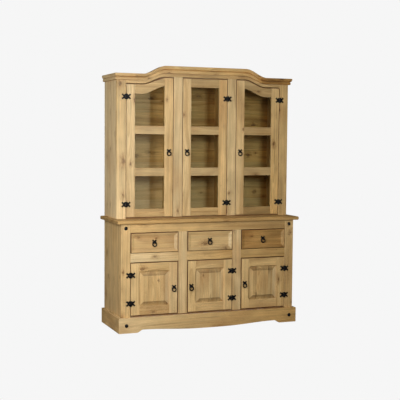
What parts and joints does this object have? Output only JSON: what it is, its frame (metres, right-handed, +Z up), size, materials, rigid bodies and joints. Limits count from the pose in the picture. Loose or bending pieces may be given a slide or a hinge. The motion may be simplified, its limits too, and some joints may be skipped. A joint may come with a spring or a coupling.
{
  "type": "display cabinet",
  "caption": "Pine display cabinet: a base with drawers and panelled cupboards under a shallower hutch with glazed doors and an arched cornice, on black iron hinges and ring pulls.",
  "frame": {"origin": "on the floor, under the middle of the base's top board, which is the widest and deepest piece", "axes": "+X along the front to the viewer's right, +Y from the doors to the back panel, +Z up"},
  "size_m": [1.32, 0.436, 1.771],
  "materials": {
    "pine": "satin",
    "pine_inside": "matte",
    "black_iron": "satin",
    "clear_glass": "gloss",
    "catch_steel": "satin"
  },
  "bodies": {
    "cabinet": {"plinth": "pine", "base_side_panels": "pine", "base_posts": "pine", "base_mullions": "pine", "base_rails": "pine", "base_bottom_board": "pine_inside", "base_partitions": "pine_inside", "base_shelves": "pine_inside", "base_back_panel": "pine_inside", "base_top_board": "pine", "drawer_runners": "pine_inside", "hutch_side_panels": "pine", "hutch_uprights": "pine", "hutch_arch_rail": "pine", "cornice": "pine", "hutch_top_board": "pine", "hutch_bottom_board": "pine_inside", "hutch_partitions": "pine_inside", "hutch_shelves": "pine_inside", "hutch_back_panel": "pine_inside", "hinge_post_leaves": "black_iron", "hinge_pins": "black_iron", "stud_nails": "black_iron", "door_catches": "catch_steel"},
    "upper_left_door": {"upper_left_door_frame": "pine", "upper_left_glass": "clear_glass", "upper_left_fittings": "black_iron"},
    "upper_left_pull_ring": {"upper_left_ring": "black_iron"},
    "lower_left_door": {"lower_left_door_frame": "pine", "lower_left_panel": "pine", "lower_left_fittings": "black_iron"},
    "lower_left_pull_ring": {"lower_left_ring": "black_iron"},
    "left_drawer": {"left_drawer_front": "pine", "left_drawer_box": "pine_inside", "left_drawer_plate": "black_iron"},
    "left_drawer_pull_ring": {"left_drawer_ring": "black_iron"},
    "upper_middle_door": {"upper_middle_door_frame": "pine", "upper_middle_glass": "clear_glass", "upper_middle_fittings": "black_iron"},
    "upper_middle_pull_ring": {"upper_middle_ring": "black_iron"},
    "lower_middle_door": {"lower_middle_door_frame": "pine", "lower_middle_panel": "pine", "lower_middle_fittings": "black_iron"},
    "lower_middle_pull_ring": {"lower_middle_ring": "black_iron"},
    "middle_drawer": {"middle_drawer_front": "pine", "middle_drawer_box": "pine_inside", "middle_drawer_plate": "black_iron"},
    "middle_drawer_pull_ring": {"middle_drawer_ring": "black_iron"},
    "upper_right_door": {"upper_right_door_frame": "pine", "upper_right_glass": "clear_glass", "upper_right_fittings": "black_iron"},
    "upper_right_pull_ring": {"upper_right_ring": "black_iron"},
    "lower_right_door": {"lower_right_door_frame": "pine", "lower_right_panel": "pine", "lower_right_fittings": "black_iron"},
    "lower_right_pull_ring": {"lower_right_ring": "black_iron"},
    "right_drawer": {"right_drawer_front": "pine", "right_drawer_box": "pine_inside", "right_drawer_plate": "black_iron"},
    "right_drawer_pull_ring": {"right_drawer_ring": "black_iron"}
  },
  "joints": [
    {"name": "upper_left_door_hinge", "type": "hinge", "parent": "cabinet", "child": "upper_left_door", "pos_m": [-0.56425, -0.0864, 1.2], "axis": [0, 0, -1], "range_deg": [0, 110]},
    {"name": "upper_left_ring_swing", "type": "hinge", "parent": "upper_left_door", "child": "upper_left_pull_ring", "pos_m": [-0.2635, -0.0886, 1.197], "axis": [-1, 0, 0], "range_deg": [0, 110]},
    {"name": "lower_left_door_hinge", "type": "hinge", "parent": "cabinet", "child": "lower_left_door", "pos_m": [-0.56425, -0.1974, 0.28], "axis": [0, 0, -1], "range_deg": [0, 110]},
    {"name": "lower_left_ring_swing", "type": "hinge", "parent": "lower_left_door", "child": "lower_left_pull_ring", "pos_m": [-0.2605, -0.1996, 0.287], "axis": [-1, 0, 0], "range_deg": [0, 110]},
    {"name": "left_drawer_slide", "type": "slide", "parent": "cabinet", "child": "left_drawer", "axis": [0, -1, 0], "range_m": [0, 0.25]},
    {"name": "left_drawer_ring_swing", "type": "hinge", "parent": "left_drawer", "child": "left_drawer_pull_ring", "pos_m": [-0.398, -0.1926, 0.5955], "axis": [-1, 0, 0], "range_deg": [0, 110]},
    {"name": "upper_middle_door_hinge", "type": "hinge", "parent": "cabinet", "child": "upper_middle_door", "pos_m": [0.16425, -0.0864, 1.2], "axis": [0, 0, 1], "range_deg": [0, 110]},
    {"name": "upper_middle_ring_swing", "type": "hinge", "parent": "upper_middle_door", "child": "upper_middle_pull_ring", "pos_m": [-0.1325, -0.0886, 1.197], "axis": [-1, 0, 0], "range_deg": [0, 110]},
    {"name": "lower_middle_door_hinge", "type": "hinge", "parent": "cabinet", "child": "lower_middle_door", "pos_m": [0.16425, -0.1974, 0.28], "axis": [0, 0, 1], "range_deg": [0, 110]},
    {"name": "lower_middle_ring_swing", "type": "hinge", "parent": "lower_middle_door", "child": "lower_middle_pull_ring", "pos_m": [-0.1355, -0.1996, 0.287], "axis": [-1, 0, 0], "range_deg": [0, 110]},
    {"name": "middle_drawer_slide", "type": "slide", "parent": "cabinet", "child": "middle_drawer", "axis": [0, -1, 0], "range_m": [0, 0.25]},
    {"name": "middle_drawer_ring_swing", "type": "hinge", "parent": "middle_drawer", "child": "middle_drawer_pull_ring", "pos_m": [0, -0.1926, 0.5955], "axis": [-1, 0, 0], "range_deg": [0, 110]},
    {"name": "upper_right_door_hinge", "type": "hinge", "parent": "cabinet", "child": "upper_right_door", "pos_m": [0.56425, -0.0864, 1.2], "axis": [0, 0, 1], "range_deg": [0, 110]},
    {"name": "upper_right_ring_swing", "type": "hinge", "parent": "upper_right_door", "child": "upper_right_pull_ring", "pos_m": [0.2635, -0.0886, 1.197], "axis": [-1, 0, 0], "range_deg": [0, 110]},
    {"name": "lower_right_door_hinge", "type": "hinge", "parent": "cabinet", "child": "lower_right_door", "pos_m": [0.56425, -0.1974, 0.28], "axis": [0, 0, 1], "range_deg": [0, 110]},
    {"name": "lower_right_ring_swing", "type": "hinge", "parent": "lower_right_door", "child": "lower_right_pull_ring", "pos_m": [0.2605, -0.1996, 0.287], "axis": [-1, 0, 0], "range_deg": [0, 110]},
    {"name": "right_drawer_slide", "type": "slide", "parent": "cabinet", "child": "right_drawer", "axis": [0, -1, 0], "range_m": [0, 0.25]},
    {"name": "right_drawer_ring_swing", "type": "hinge", "parent": "right_drawer", "child": "right_drawer_pull_ring", "pos_m": [0.398, -0.1926, 0.5955], "axis": [-1, 0, 0], "range_deg": [0, 110]}
  ]
}
